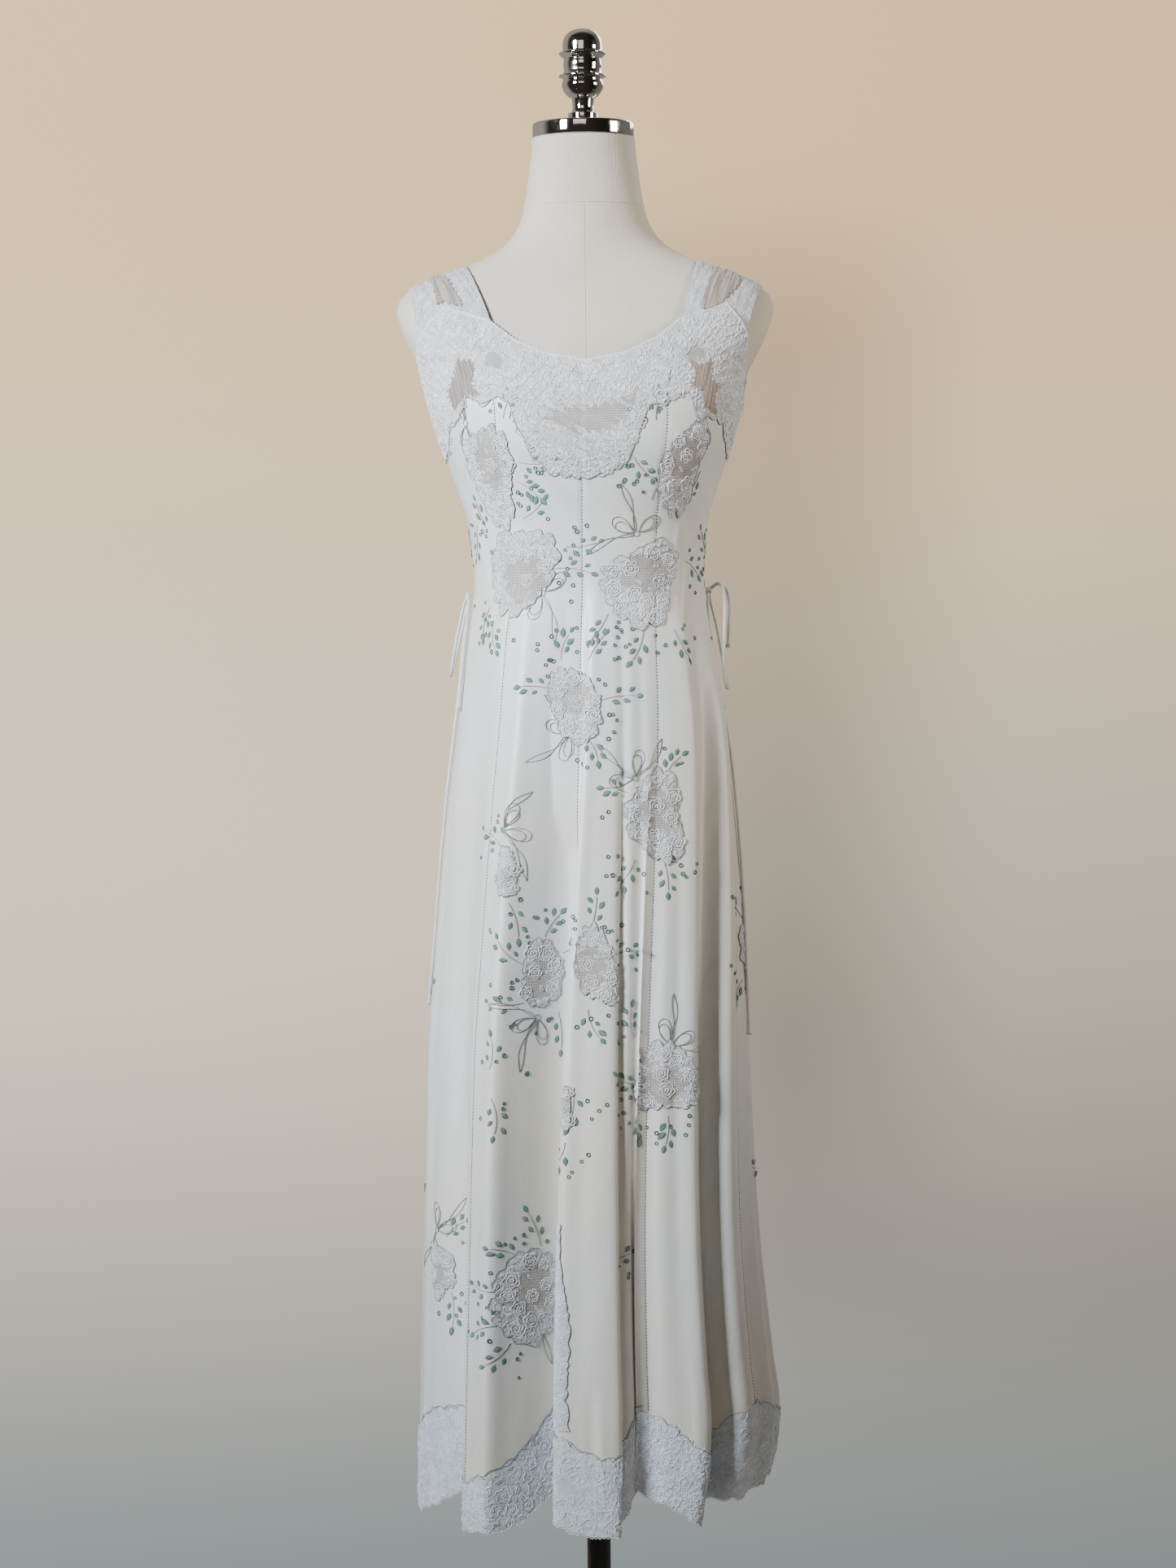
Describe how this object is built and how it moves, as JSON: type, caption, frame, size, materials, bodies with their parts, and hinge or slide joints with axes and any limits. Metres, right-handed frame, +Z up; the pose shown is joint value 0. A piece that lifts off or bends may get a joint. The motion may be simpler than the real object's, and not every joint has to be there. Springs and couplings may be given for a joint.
{
  "type": "slip dress on a limbless dress form with a stand",
  "caption": "Long gored satin slip dress with lace yoke, straps, hem border and side ties, worn by a limbless linen dress form on a pole with a round base.",
  "frame": {"origin": "on the floor, under the middle of the pole and the base", "axes": "+Z up, the dress faces -Y, +X to its wearer's left"},
  "size_m": [0.397, 0.3585, 1.7714],
  "materials": {
    "satin": "pale ivory satin with a soft sheen",
    "lace": "cool white floral lace",
    "net": "sheer brown-grey net",
    "tie_satin": "pale satin spaghetti cord",
    "linen": "matt off-white linen jersey",
    "chrome": "polished",
    "black_steel": "semi-gloss black powder coat"
  },
  "bodies": {
    "root": {"form_torso": "linen", "neck_cap": "chrome", "finial": "chrome", "stand_pole": "black_steel", "stand_base": "black_steel", "gore_front_side_left": "satin", "gore_front_centre_left": "satin", "gore_front_centre_right": "satin", "gore_front_side_right": "satin", "gore_back_side_right": "satin", "gore_back_centre_right": "satin", "gore_back_centre_left": "satin", "gore_back_side_left": "satin", "hem_lace_front_left": "lace", "hem_lace_front_right": "lace", "hem_lace_back_right": "lace", "hem_lace_back_left": "lace", "lace_strip_centre": "lace", "lace_yoke_front": "lace", "lace_yoke_back": "lace", "net_bust_left": "net", "net_bust_right": "net", "strap_left": "lace", "strap_right": "lace", "net_strap_left": "net", "net_strap_right": "net", "tie_left_knot": "tie_satin", "tie_left_loop": "tie_satin", "tie_left_tail_long": "tie_satin", "tie_left_tail_short": "tie_satin", "tie_right_knot": "tie_satin", "tie_right_loop": "tie_satin", "tie_right_tail_long": "tie_satin", "tie_right_tail_short": "tie_satin"}
  },
  "joints": []
}
